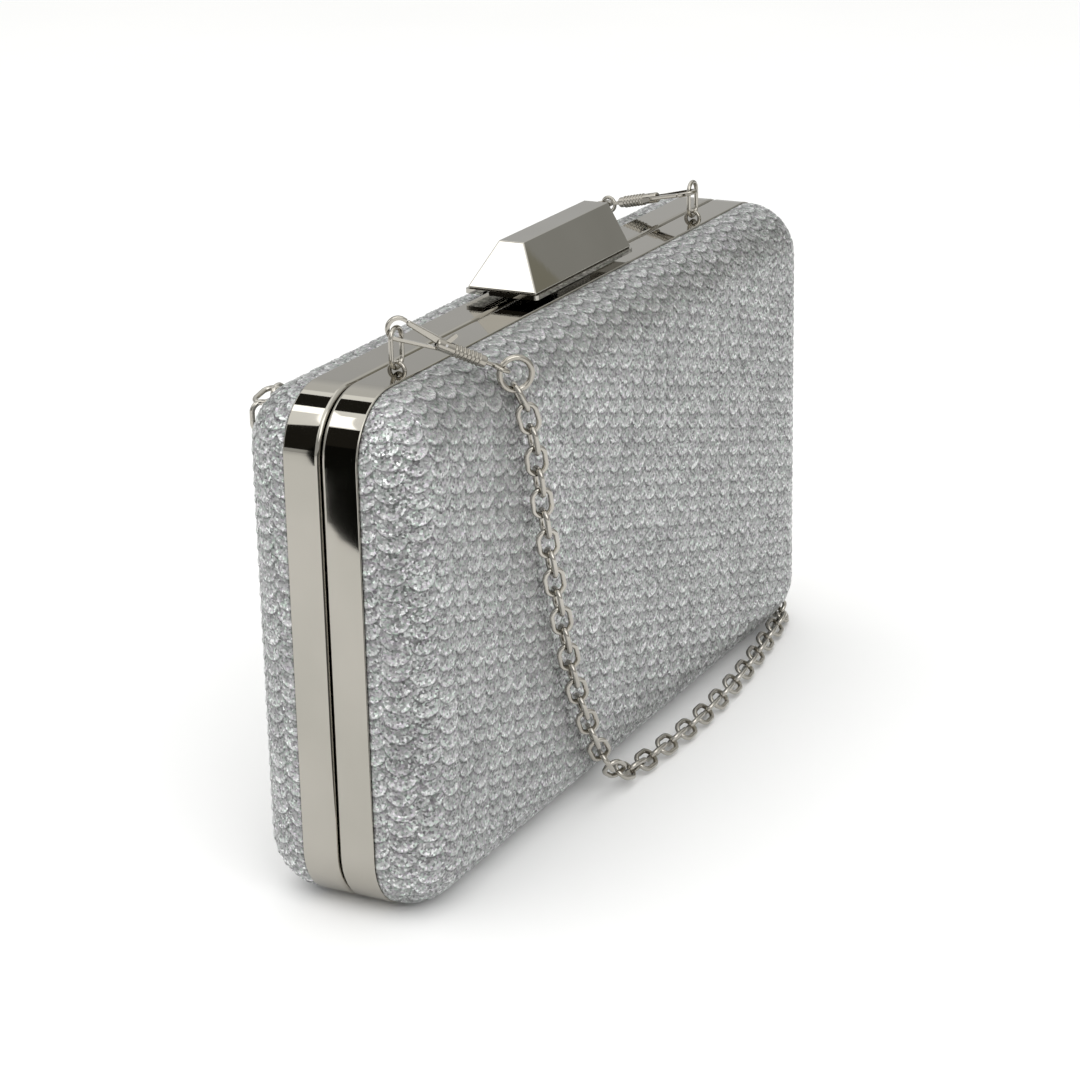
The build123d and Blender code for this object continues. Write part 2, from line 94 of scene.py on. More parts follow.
# ---- chain: oval links of round wire ----
LINK_LONG = 0.0073
LINK_WIDE = 0.0052
LINK_WIRE = 0.00115
LINK_PITCH = LINK_LONG - 2 * LINK_WIRE
LINK_AROUND = 28
LINK_SIDES = 10
JUMP_WIRE_R = 0.00065
END_LINK_GAP = LINK_PITCH / 2 - JUMP_WIRE_R
MID_LINK_GAP = LINK_PITCH / 2
LEFT_RING_WIRE = (0.6975, -0.7166, 0.0)
RIGHT_RING_WIRE = (-0.91, -0.41, 0.10)

FRONT_CHAIN = [
    (-0.0590, -0.0217, 0.1035),
    (-0.0584, -0.0230, 0.1013),
    (-0.0568, -0.0241, 0.0945),
    (-0.0543, -0.0240, 0.0840),
    (-0.0519, -0.0241, 0.0720),
    (-0.0482, -0.0239, 0.0595),
    (-0.0446, -0.0241, 0.0465),
    (-0.0400, -0.0239, 0.0335),
    (-0.0342, -0.0242, 0.0215),
    (-0.0290, -0.0244, 0.0126),
    (-0.0226, -0.0249, 0.0054),
    (-0.0146, -0.0256, 0.0027),
    (-0.0030, -0.0264, 0.0027),
    (0.0130, -0.0273, 0.0027),
    (0.0340, -0.0266, 0.0027),
    (0.0540, -0.0246, 0.0027),
    (0.0660, -0.0228, 0.0027),
    (0.0770, -0.0210, 0.0027),
    (0.0880, -0.0194, 0.0027),
    (0.0955, -0.0152, 0.0027),
    (0.0998, -0.0078, 0.0027),
    (0.1012, -0.0003, 0.0027),
]
BACK_CHAIN = [
    (0.1012, -0.0003, 0.0027),
    (0.1012, 0.0086, 0.0027),
    (0.0980, 0.0180, 0.0027),
    (0.0880, 0.0270, 0.0027),
    (0.0680, 0.0310, 0.0027),
    (0.0420, 0.0294, 0.0027),
    (0.0140, 0.0312, 0.0027),
    (-0.0140, 0.0296, 0.0027),
    (-0.0360, 0.0310, 0.0027),
    (-0.0480, 0.0298, 0.0029),
    (-0.0580, 0.0274, 0.0064),
    (-0.0634, 0.0252, 0.0144),
    (-0.0656, 0.0245, 0.0260),
    (-0.0662, 0.0242, 0.0440),
    (-0.0673, 0.0243, 0.0610),
    (-0.0700, 0.0245, 0.0755),
    (-0.0726, 0.0246, 0.0835),
    (-0.0758, 0.0246, 0.0895),
    (-0.0798, 0.0244, 0.0940),
    (-0.0828, 0.0242, 0.0985),
    (-0.0818, 0.0240, 0.1026),
    (-0.0778, 0.0238, 0.1030),
    (-0.0736, 0.0237, 0.1000),
    (-0.0688, 0.0237, 0.0976),
    (-0.0610, 0.0239, 0.0966),
    (-0.0490, 0.0240, 0.0960),
]
TOP_CHAIN = [
    (-0.0490, 0.0240, 0.0960),
    (-0.0380, 0.0242, 0.0952),
    (-0.0260, 0.0242, 0.0946),
    (-0.0100, 0.0240, 0.0942),
    (0.0080, 0.0244, 0.0940),
    (0.0270, 0.0242, 0.0944),
    (0.0420, 0.0244, 0.0950),
    (0.0540, 0.0248, 0.0968),
    (0.0620, 0.0252, 0.1006),
    (0.0670, 0.0253, 0.1050),
    (0.0676, 0.0251, 0.1080),
    (0.0676, 0.0250, 0.1097),
]

# ---- lining ----
LINING_STEP = 0.0015
LINING_FADE = 0.004
LINING_RIPPLE = 0.00007

# ---- lining pocket ----
POCKET_BACK = 0.0176
POCKET_DEPTH = 0.0013
POCKET_HEM = 0.008
POCKET_HEM_T = 0.0002
POCKET_HEM_EDGE = 0.001
POCKET_SOFTNESS = 0.004
POCKET_RIPPLE = 0.00008
POCKET_STEP = 0.001
STITCH_PITCH = 0.0028
STITCH_MARGIN = 0.005
STITCH_FIRST = 0.006
STITCH_HALF = 0.0010
STITCH_LIFT = 0.0003
STITCH_ABOVE_HEM = 0.001
THREAD_R = 0.00016
STITCH_AROUND = 8
STITCH_RINGS = 6

# ---- plated metal ----
CLOUD_SCALE = 38.0
SMUDGE_SCALE = 120.0
HAIRLINE_SCALE = 900.0
HAIRLINE_STRETCH = (1, 0.06, 0.6)
FAINT_SCRATCH = 0.0000015
LIGHT_SCRATCH = 0.000002
DEEP_SCRATCH = 0.000004

# ---- stage: sky shade by height, then where each light stands, its size and its power ----
SKY_STOPS = ((0.0, 0.62), (0.20, 0.62), (0.34, 0.60), (0.60, 0.95), (1.0, 1.10))
SKY_WARMTH = 0.985
BACKDROP = (0.95, 0.95, 0.95, 1)
FLOOR_HALF = 4.0
KEY_LIGHT = ((-0.35, 0.35, 1.15), 1.8, 5.5)
FILL_LIGHT = ((-0.7, -0.9, 0.9), 0.9, 5.0)
LIT_PLACE = (0, 0, 0.05)

# ---- camera ----
CAMERA_TARGET = Vector((0.0, 0.0, 0.055))
CAMERA_AZIMUTH = math.radians(-62.885)
CAMERA_ELEVATION = math.radians(18.914)
CAMERA_ROLL = math.radians(-1.182)
CAMERA_DISTANCE = 0.65913
CAMERA_LENS = 96.64
CAMERA_SHIFT = (-0.01467, -0.0223)


# ---------------------------------------------------------------- small helpers

def add_mesh(name, points, faces, material, body=None):
    """Smooth-shaded mesh object, which rides on a body when one is given."""
    mesh = bpy.data.meshes.new(name)
    mesh.from_pydata([tuple(p) for p in points], [], [tuple(f) for f in faces])
    mesh.polygons.foreach_set("use_smooth", [True] * len(mesh.polygons))
    mesh.materials.append(material)
    mesh.update()
    piece = bpy.data.objects.new(name, mesh)
    bpy.context.scene.collection.objects.link(piece)
    if body:
        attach(piece, body)
    return piece


def grid_faces(rows, columns, flip):
    """Quads of a grid of points, row after row."""
    index = np.arange(rows * columns).reshape(rows, columns)
    quads = [index[:-1, :-1], index[1:, :-1], index[1:, 1:], index[:-1, 1:]]
    if flip:
        quads.reverse()
    return np.stack([q.ravel() for q in quads], axis=1)


def set_uv(piece, name, flat):
    """UV map that holds each vertex's place on the uncut cloth, in metres."""
    mesh = piece.data
    layer = mesh.uv_layers.new(name=name)
    corners = np.empty(len(mesh.loops), dtype=np.int32)
    mesh.loops.foreach_get("vertex_index", corners)
    layer.data.foreach_set("uv", flat[corners].astype(np.float32).ravel())


# ---------------------------------------------------------------- materials

class Graph:
    """A material's node tree with short ways to add to it."""

    def __init__(self, name):
        self.material = bpy.data.materials.new(name)
        self.material.use_nodes = True
        self.tree = self.material.node_tree
        self.shader = self.tree.nodes["Principled BSDF"]

    def join(self, value, socket):
        """Links a socket's output to an input, or sets the input to a number or vector."""
        if isinstance(value, bpy.types.NodeSocket):
            self.tree.links.new(value, socket)
        else:
            socket.default_value = value

    def node(self, kind, inputs=None, **settings):
        made = self.tree.nodes.new("ShaderNode" + kind)
        for key, value in settings.items():
            setattr(made, key, value)
        for key, value in (inputs or {}).items():
            self.join(value, made.inputs[key])
        return made

    def math(self, operation, *values):
        made = self.node("Math", operation=operation)
        for value, socket in zip(values, made.inputs):
            self.join(value, socket)
        return made.outputs[0]

    def vector(self, operation, *values):
        made = self.node("VectorMath", operation=operation)
        for value, socket in zip(values, made.inputs):
            self.join(value, socket)
        return made.outputs[0]

    def ramp(self, factor, *stops):
        made = self.node("ValToRGB", {"Fac": factor})
        elements = made.color_ramp.elements
        while len(elements) < len(stops):
            elements.new(1.0)
        for element, (place, shade) in zip(elements, stops):
            element.position = place
            element.color = (*shade, 1) if hasattr(shade, "__len__") else (shade, shade, shade, 1)
        return made.outputs["Color"]

    def noise(self, scale, detail=3.0, stretch=(1, 1, 1)):
        place = self.node("TexCoord").outputs["Object"]
        mapped = self.node("Mapping", {"Vector": place, "Scale": stretch})
        made = self.node("TexNoise", {"Vector": mapped.outputs[0], "Scale": scale, "Detail": detail})
        return made.outputs[0]

    def mix(self, factor, first, second, blend_type="MIX"):
        sockets = {"Fac": factor, "Color1": first, "Color2": second}
        made = self.node("MixRGB", sockets, blend_type=blend_type)
        return made.outputs[0]

    def bump(self, height, distance, strength=1.0):
        made = self.node("Bump", {"Height": height, "Distance": distance, "Strength": strength})
        return made.outputs[0]

    def into(self, name, value):
        self.join(value, self.shader.inputs[name])


def polished_metal(name, light, dark, smooth, worn, scratch):
    """Plated metal: faint clouding, a little uneven gloss, and hairline scratches."""
    g = Graph(name)
    cloud = g.noise(CLOUD_SCALE)
    g.into("Base Color", g.ramp(cloud, (0.30, dark), (0.70, light)))
    smudge = g.noise(SMUDGE_SCALE, 4.0)
    g.into("Roughness", g.ramp(smudge, (0.35, smooth), (0.80, worn)))
    hairline = g.noise(HAIRLINE_SCALE, 2.0, HAIRLINE_STRETCH)
    g.into("Normal", g.bump(hairline, scratch))
    g.into("Metallic", 1.0)
    return g.material


def scallop_cloth(name):
    """Glitter cloth with staggered scallops, placed by the cloth's own flat coordinates."""
    g = Graph(name)
    flat = g.node("SeparateXYZ", {"Vector": g.node("UVMap", uv_map="flat").outputs[0]})
    across = g.math("ADD", g.math("DIVIDE", flat.outputs[0], SCALLOP_W), 0.5)
    column = g.math("FLOOR", across)
    off_centre = g.math("SUBTRACT", g.math("SUBTRACT", across, column), 0.5)
    swing = g.math("POWER", g.math("MULTIPLY", g.math("ABSOLUTE", off_centre), SCALLOP_ARC), 2.0)
    rise = g.math("SUBTRACT", 1.0, g.math("SQRT", g.math("SUBTRACT", 1.0, swing)))
    bend = g.math("MULTIPLY", rise, SCALLOP_SAG / SCALLOP_H / ARC_DEPTH)
    odd = g.math("MULTIPLY", g.math("ABSOLUTE", g.math("MODULO", column, 2.0)), 0.5)
    along = g.math("ADD", g.math("DIVIDE", flat.outputs[1], SCALLOP_H), odd)
    along = g.math("SUBTRACT", along, bend)
    row = g.math("FLOOR", along)
    within = g.math("SUBTRACT", along, row)

    place = g.node("TexCoord").outputs["Object"]
    flakes = g.node("TexVoronoi", {"Vector": place, "Scale": FLAKE_SCALE})
    fine = g.node("TexVoronoi", {"Vector": place, "Scale": FINE_FLAKE_SCALE})
    flake = g.node("SeparateColor", {"Color": flakes.outputs["Color"]})

    # painted highlight on each scallop's rim and painted shade where the next scallop's rim overlaps it
    tone = g.ramp(within, *SCALLOP_HIGHLIGHT_AND_SHADE)
    cell = g.node("CombineXYZ", {"X": column, "Y": row})
    fate = g.node("TexWhiteNoise", {"Vector": cell.outputs[0]}, noise_dimensions="2D").outputs["Value"]
    scale_tone = g.ramp(fate, (0.0, 0.80), (1.0, 1.0))
    tone = g.mix(1.0, tone, scale_tone, "MULTIPLY")
    # random flake tones, with painted glints on the brightest flakes
    sparkle = g.ramp(flake.outputs[0], *FLAKE_TONES_AND_GLINTS)
    tone = g.mix(1.0, tone, sparkle, "MULTIPLY")
    tint = g.ramp(flake.outputs[1], *FLAKE_TINTS)
    g.into("Base Color", g.mix(1.0, tone, tint, "MULTIPLY"))

    tilt = g.vector("SUBTRACT", flakes.outputs["Color"], (0.5, 0.5, 0.5))
    fine_tilt = g.vector("SUBTRACT", fine.outputs["Color"], (0.5, 0.5, 0.5))
    tilt = g.vector("ADD", g.vector("MULTIPLY", tilt, (FLAKE_TILT,) * 3),
                    g.vector("MULTIPLY", fine_tilt, (FINE_FLAKE_TILT,) * 3))
    relief = g.ramp(within, *RIM_SHAPE)
    raised = g.bump(relief, RIM_BUMP)
    g.into("Normal", g.vector("NORMALIZE", g.vector("ADD", raised, tilt)))
    g.into("Metallic", 0.72)
    g.into("Roughness", 0.38)
    return g.material


def satin(name, light, dark):
    """Smooth woven lining with a soft sheen."""
    g = Graph(name)
    g.into("Base Color", g.ramp(g.noise(90.0), (0.3, dark), (0.7, light)))
    place = g.node("TexCoord").outputs["Object"]
    warp = g.node("TexWave", {"Vector": place, "Scale": 900.0, "Distortion": 1.5}, bands_direction="X")
    weft = g.node("TexWave", {"Vector": place, "Scale": 900.0, "Distortion": 1.5}, bands_direction="Z")
    weave = g.math("ADD", warp.outputs["Fac"], weft.outputs["Fac"])
    g.into("Normal", g.bump(weave, 0.00003))
    g.into("Roughness", g.ramp(g.noise(400.0), (0.3, 0.34), (0.8, 0.50)))
    g.into("Sheen Weight", 0.35)
    g.into("Anisotropic", 0.4)
    return g.material


def moulded_plastic(name, light, dark):
    """Moulded tray: fine spark-eroded grain."""
    g = Graph(name)
    g.into("Base Color", g.ramp(g.noise(60.0), (0.3, dark), (0.7, light)))
    g.into("Normal", g.bump(g.noise(2600.0, 2.0), 0.00004))
    g.into("Roughness", g.ramp(g.noise(300.0), (0.3, 0.45), (0.8, 0.62)))
    return g.material


def stage_floor(name):
    """Plain pale floor."""
    g = Graph(name)
    g.into("Base Color", g.ramp(g.noise(6.0), (0.3, 0.95), (0.7, 0.97)))
    g.into("Roughness", 0.7)
    return g.material


BAND = polished_metal("polished_band", (0.42, 0.40, 0.36), (0.38, 0.365, 0.325), 0.03, 0.06, FAINT_SCRATCH)
KNOB = polished_metal("polished_knob", (0.43, 0.415, 0.38), (0.39, 0.375, 0.34), 0.03, 0.06, FAINT_SCRATCH)
HARDWARE = polished_metal(
    "polished_hardware", (0.44, 0.42, 0.38), (0.36, 0.34, 0.30), 0.07, 0.14, LIGHT_SCRATCH)
CHAIN = polished_metal("chain_metal", (0.50, 0.48, 0.44), (0.38, 0.36, 0.32), 0.08, 0.17, LIGHT_SCRATCH)
STEEL = polished_metal("hardware_steel", (0.52, 0.51, 0.50), (0.42, 0.41, 0.40), 0.20, 0.34, DEEP_SCRATCH)
CLOTH = scallop_cloth("scallop_glitter_fabric")
LINING = satin("satin_lining", (0.50, 0.50, 0.52), (0.44, 0.44, 0.46))
TRAY = moulded_plastic("moulded_tray", (0.060, 0.058, 0.055), (0.045, 0.044, 0.042))

NODE_FINISH = {
    "frame": BAND,
    "clasp": STEEL,
    "clasp_knob": KNOB,
    "clasp_base_plate": KNOB,
    "strike_leaf": STEEL,
    "hinge": STEEL,
    "shell": TRAY,
    "_ring": HARDWARE,
    "lobster": HARDWARE,
    "spring": STEEL,
    "pin": STEEL,
}


def dress_frame():
    """Gives every CAD part that stays in view the material of the last word its name holds."""
    for name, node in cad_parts.items():
        for word, material in NODE_FINISH.items():
            if word in name:
                node.data.materials.clear()
                node.data.materials.append(material)


# ---------------------------------------------------------------- chain

def route_line(name, route):
    """The points of the smooth line that a route's points control."""
    curve = bpy.data.curves.new(name, "CURVE")
    curve.dimensions = "3D"
    spline = curve.splines.new("NURBS")
    spline.points.add(len(route) - 1)
    for point, place in zip(spline.points, route):
        point.co = (*place, 1)
    spline.order_u = 3
    spline.use_endpoint_u = True
    spline.resolution_u = 24
    carrier = bpy.data.objects.new(name, curve)
    mesh = bpy.data.meshes.new_from_object(carrier)
    line = np.array([vertex.co for vertex in mesh.vertices])
    bpy.data.meshes.remove(mesh)
    bpy.data.objects.remove(carrier)
    bpy.data.curves.remove(curve)
    return line


def place_links(line, first_gap, last_gap):
    """Centres and directions of links spaced evenly along a line."""
    steps = np.linalg.norm(np.diff(line, axis=0), axis=1)
    reach = np.concatenate([[0.0], np.cumsum(steps)])
    span = reach[-1] - first_gap - last_gap
    count = round(span / LINK_PITCH) + 1
    at = first_gap + np.linspace(0.0, span, count)
    half = LINK_PITCH / 2
    centres = np.stack([np.interp(at, reach, line[:, k]) for k in range(3)], axis=1)
    ahead = np.stack([np.interp(at + half, reach, line[:, k]) for k in range(3)], axis=1)
    behind = np.stack([np.interp(at - half, reach, line[:, k]) for k in range(3)], axis=1)
    directions = ahead - behind
    return centres, directions / np.linalg.norm(directions, axis=1)[:, None]


def carry_normals(directions, normal):
    """A normal carried along the links without twisting."""
    carried = []
    for direction in directions:
        normal = normal - direction * normal.dot(direction)
        normal = normal / np.linalg.norm(normal)
        carried.append(normal)
    return np.array(carried)


def link_template():
    """One oval link lying along x, with its opening facing z."""
    bend_r = (LINK_WIDE - LINK_WIRE) / 2
    straight = (LINK_LONG - LINK_WIRE) / 2 - bend_r
    points = []
    for i in range(LINK_AROUND):
        angle = 2 * math.pi * i / LINK_AROUND
        outward = Vector((math.cos(angle), math.sin(angle), 0.0))
        middle = outward * bend_r + Vector((math.copysign(straight, outward.x), 0.0, 0.0))
        for k in range(LINK_SIDES):
            turn = 2 * math.pi * k / LINK_SIDES
            offset = outward * math.cos(turn) + Vector((0.0, 0.0, math.sin(turn)))
            points.append(middle + offset * (LINK_WIRE / 2))
    faces = []
    for i in range(LINK_AROUND):
        for k in range(LINK_SIDES):
            here = i * LINK_SIDES
            there = ((i + 1) % LINK_AROUND) * LINK_SIDES
            after = (k + 1) % LINK_SIDES
            faces.append((here + k, there + k, there + after, here + after))
    return np.array(points), np.array(faces)


def chain_piece(name, centres, directions, normals, body):
    """Links that pass through one another, each a quarter turn from the last."""
    points, faces = link_template()
    all_points = []
    all_faces = []
    for centre, along, normal in zip(centres, directions, normals):
        wide = np.cross(normal, along)
        all_points.append(centre + points @ np.array([along, wide, normal]))
        all_faces.append(faces + len(points) * len(all_faces))
    return add_mesh(name, np.concatenate(all_points), np.concatenate(all_faces), CHAIN, body)


def quarter_turns(directions, normals, first):
    """Turns every other link's normal by a quarter turn, starting as first says."""
    turned = normals.copy()
    for i in range(len(normals)):
        if (i + first) % 2:
            turned[i] = np.cross(directions[i], normals[i])
    return turned


def twist_towards(directions, normals, wanted):
    """Twists the links evenly along a stretch until the last one faces as wanted."""
    last = directions[-1]
    wanted = np.array(wanted) - last * np.dot(wanted, last)
    side = np.cross(last, normals[-1])
    angle = math.atan2(np.dot(wanted, side), np.dot(wanted, normals[-1]))
    quarter = math.pi / 2
    angle -= quarter * round(angle / quarter)
    twisted = []
    for i, (direction, normal) in enumerate(zip(directions, normals)):
        turn = angle * i / (len(normals) - 1)
        twisted.append(normal * math.cos(turn) + np.cross(direction, normal) * math.sin(turn))
    return np.array(twisted)


def add_chain():
    """The chain strap, in its three stretches."""
    stretches = (
        ("front_chain_links", FRONT_CHAIN, END_LINK_GAP, MID_LINK_GAP, "front_half"),
        ("back_chain_links", BACK_CHAIN, MID_LINK_GAP, MID_LINK_GAP, None),
        ("top_chain_links", TOP_CHAIN, MID_LINK_GAP, END_LINK_GAP, None),
    )
    normal = np.array(LEFT_RING_WIRE)
    placed = 0
    pieces = {}
    for name, route, first_gap, last_gap, body in stretches:
        line = route_line(name, route)
        centres, directions = place_links(line, first_gap, last_gap)
        normals = carry_normals(directions, normal)
        normal = normals[-1]
        if name == "top_chain_links":
            normals = twist_towards(directions, normals, RIGHT_RING_WIRE)
        facing = quarter_turns(directions, normals, placed)
        placed += len(centres)
        pieces[name] = (chain_piece(name, centres, directions, facing, body), line)
    return pieces


def declare_chain(pieces):
    """Hides the CAD chain and bakes the back and top stretches' placement into their meshes."""
    back, back_line = pieces["back_chain_links"]
    top, top_line = pieces["top_chain_links"]
    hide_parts("front_chain")
    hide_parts("back_chain")
    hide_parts("top_chain")
    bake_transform(back)
    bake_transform(top)


# ---------------------------------------------------------------- cloth

def profile(reach, rim, edge_r, straight):
    """How cloth runs over a tray's edge: outward offset, drop, and its normal's two parts."""
    arc = edge_r * math.pi / 2
    angle = np.clip((reach - rim) / edge_r, 0.0, math.pi / 2)
    side = np.clip(reach - rim - arc, 0.0, straight)
    turned = np.clip(reach - rim - arc - straight, 0.0, None)
    offset = np.minimum(reach, rim) + edge_r * np.sin(angle) - turned
    drop = edge_r * (1 - np.cos(angle)) + side
    return offset, drop, np.sin(angle), np.cos(angle)


def tray_cloth(inset, start, turn, step):
    """Grid of cloth over a tray of the case: points, normals, flat places and edge distances."""
    rim = CORNER_R - EDGE_R
    edge_r = EDGE_R - inset
    straight = SHOULDER - start
    total = rim + edge_r * math.pi / 2 + straight + turn
    low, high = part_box("front_frame")
    core_x = high[0] - CORNER_R
    core_z = (high[2] - low[2]) / 2 - CORNER_R
    middle_z = (high[2] + low[2]) / 2
    columns = 2 * round((core_x + total) / step) + 1
    rows = 2 * round((core_z + total) / step) + 1
    s, t = np.meshgrid(
        np.linspace(-core_x - total, core_x + total, columns),
        np.linspace(-core_z - total, core_z + total, rows),
    )
    beyond_x = np.clip(np.abs(s) - core_x, 0.0, None)
    beyond_z = np.clip(np.abs(t) - core_z, 0.0, None)
    reach = np.maximum(beyond_x, beyond_z)
    share = np.minimum(beyond_x, beyond_z) / np.maximum(reach, step * 0.001)
    angle = np.where(beyond_x >= beyond_z, share * math.pi / 4, (2 - share) * math.pi / 4)
    away_x = np.cos(angle) * np.sign(s) * (reach > 0)
    away_z = np.sin(angle) * np.sign(t) * (reach > 0)
    core = np.clip(s, -core_x, core_x), np.clip(t, -core_z, core_z)
    offset, drop, outward, facing = profile(reach, rim, edge_r, straight)
    points = np.stack([
        core[0] + away_x * offset,
        FACE_DEPTH - inset - drop,
        core[1] + away_z * offset + middle_z,
    ], axis=-1)
    normals = np.stack([away_x * outward, facing, away_z * outward], axis=-1)
    flat = np.stack([core[0] + away_x * reach, core[1] + away_z * reach], axis=-1)
    size = (2 * (core_x + total), 2 * (core_z + total))
    return points, normals, flat, total - reach, size


def scallop_relief(flat):
    """Height of the scallops' raised rims and sloping scales."""
    across = flat[..., 0] / SCALLOP_W + 0.5
    column = np.floor(across)
    off_centre = across - column - 0.5
    along = flat[..., 1] / SCALLOP_H + 0.5 * np.mod(column, 2)
    rise = 1 - np.sqrt(1 - (SCALLOP_ARC * off_centre) ** 2)
    along = along - rise * SCALLOP_SAG / SCALLOP_H / ARC_DEPTH
    within = along - np.floor(along)
    rim = RIM_RELIEF * np.exp(-((within - RIM_AT) / RIM_SPREAD) ** 2)
    return rim + SLOPE_RELIEF * (1 - within) - SLOPE_RELIEF / 2


def lining_relief(flat):
    """Slack ripples of a glued lining."""
    x, z = flat[..., 0], flat[..., 1]
    ripple = np.sin(x * 310 + 2.1 * np.sin(z * 95)) + np.sin(z * 260 + 1.7 * np.sin(x * 120))
    return ripple * LINING_RIPPLE


def mirrored(points, side):
    """The rear half's points, or their mirror image for the front half."""
    return points * np.array([1, side, 1])


def add_covers():
    """Scallop cloth over the outside of both halves."""
    points, normals, flat, inside, size = tray_cloth(COVER_INSET, COVER_START, HEM_TURN, COVER_STEP)
    fade = np.clip((inside - HEM_TURN) / EDGE_FADE, 0.0, 1.0)
    points = points + normals * (scallop_relief(flat) * fade)[..., None]
    rows, columns = points.shape[:2]
    for half, side in (("front", -1), ("back", 1)):
        faces = grid_faces(rows, columns, side > 0)
        places = mirrored(points, side).reshape(-1, 3)
        cover = add_mesh(half + "_cover_cloth", places, faces, CLOTH, half + "_half")
        set_uv(cover, "flat", flat.reshape(-1, 2))
        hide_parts(half + "_cover")


def add_linings():
    """Satin lining inside both trays."""
    points, normals, flat, inside, size = tray_cloth(LINING_INSET, LINING_START, 0.0, LINING_STEP)
    fade = np.clip(inside / LINING_FADE, 0.0, 1.0)
    points = points + normals * (lining_relief(flat) * fade)[..., None]
    rows, columns = points.shape[:2]
    for half, side in (("front", -1), ("back", 1)):
        faces = grid_faces(rows, columns, side < 0)
        places = mirrored(points, side).reshape(-1, 3)
        lining = add_mesh(half + "_lining_cloth", places, faces, LINING, half + "_half")
        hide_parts(half + "_lining")


def add_pocket():
    """Slip pocket on the rear lining, with a stitched hem along its open top."""
    low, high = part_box("slip_pocket")
    columns = round((high[0] - low[0]) / POCKET_STEP) + 1
    rows = round((high[2] - low[2]) / POCKET_STEP) + 1
    x, z = np.meshgrid(np.linspace(low[0], high[0], columns), np.linspace(low[2], high[2], rows))
    to_side = np.minimum(x - low[0], high[0] - x)
    to_bottom = z - low[2]
    rise = 1 - np.exp(-np.minimum(to_side, to_bottom) / POCKET_SOFTNESS)
    hem = np.clip((z - high[2] + POCKET_HEM) / POCKET_HEM_EDGE, 0.0, 1.0)
    ripple = np.sin(x * 260 + 1.3) * np.sin(z * 170) * POCKET_RIPPLE
    y = POCKET_BACK - POCKET_DEPTH * rise - POCKET_HEM_T * hem * rise + ripple * rise
    points = np.stack([x, y, z], axis=-1).reshape(-1, 3)
    pocket = add_mesh("slip_pocket_cloth", points, grid_faces(rows, columns, False), LINING, "back_half")
    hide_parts("slip_pocket")
    stitches = add_stitches(low, high)


def add_stitches(low, high):
    """Row of thread stitches along the pocket's hem."""
    points = []
    faces = []
    count = int((high[0] - low[0] - 2 * STITCH_MARGIN) / STITCH_PITCH)
    around, rings = STITCH_AROUND, STITCH_RINGS
    for i in range(count):
        centre = Vector((
            low[0] + STITCH_FIRST + i * STITCH_PITCH,
            POCKET_BACK - POCKET_DEPTH - STITCH_LIFT,
            high[2] - POCKET_HEM + STITCH_ABOVE_HEM,
        ))
        base = len(points)
        for ring in range(rings):
            polar = math.pi * (ring + 0.5) / rings
            for k in range(around):
                turn = 2 * math.pi * k / around
                points.append(centre + Vector((
                    math.cos(polar) * STITCH_HALF,
                    math.sin(polar) * math.cos(turn) * THREAD_R,
                    math.sin(polar) * math.sin(turn) * THREAD_R,
                )))
        for ring in range(rings - 1):
            for k in range(around):
                here = base + ring * around
                after = (k + 1) % around
                faces.append((here + k, here + after, here + around + after, here + around + k))
        faces.append(tuple(base + k for k in reversed(range(around))))
        faces.append(tuple(base + (rings - 1) * around + k for k in range(around)))
    stitches = add_mesh("pocket_stitches", points, faces, LINING, "back_half")
    return stitches


# ---------------------------------------------------------------- stage, light and camera

def add_floor():
    """Wide pale floor under the object."""
    mesh = bpy.data.meshes.new("floor")
    corners = level_quad(-FLOOR_HALF, FLOOR_HALF, -FLOOR_HALF, FLOOR_HALF, 0)
    mesh.from_pydata(corners, [], [(0, 1, 2, 3)])
    mesh.materials.append(stage_floor("floor_white"))
    floor = bpy.data.objects.new("floor", mesh)
    bpy.context.scene.collection.objects.link(floor)


def add_reflection_card(name, corners, radiance):
    """Glowing card that only mirrors see: a painted reflection, light or dark, that lights nothing and
    casts no shadow.
    """
    mesh = bpy.data.meshes.new(name)
    mesh.from_pydata(corners, [], [tuple(range(len(corners)))])
    g = Graph(name)
    g.into("Base Color", (0, 0, 0, 1))
    g.into("Specular IOR Level", 0.0)
    g.into("Emission Color", (*radiance, 1))
    g.into("Emission Strength", 1.0)
    mesh.materials.append(g.material)
    card = bpy.data.objects.new(name, mesh)
    bpy.context.scene.collection.objects.link(card)
    card.visible_camera = False
    card.visible_diffuse = False
    card.visible_shadow = False
    card.visible_transmission = False
    card.visible_volume_scatter = False


def level_quad(x_low, x_high, y_low, y_high, z):
    """Corners of a level rectangle."""
    return [(x_low, y_low, z), (x_high, y_low, z), (x_high, y_high, z), (x_low, y_high, z)]


def upright_quad(x, y_low, y_high, z_low, z_high):
    """Corners of an upright rectangle that faces along X."""
    return [(x, y_low, z_low), (x, y_high, z_low), (x, y_high, z_high), (x, y_low, z_high)]


def front_quad(y, x_low, x_high, z_low, z_high):
    """Corners of an upright rectangle that faces front."""
    return [(x_low, y, z_low), (x_high, y, z_low), (x_high, y, z_high), (x_low, y, z_high)]


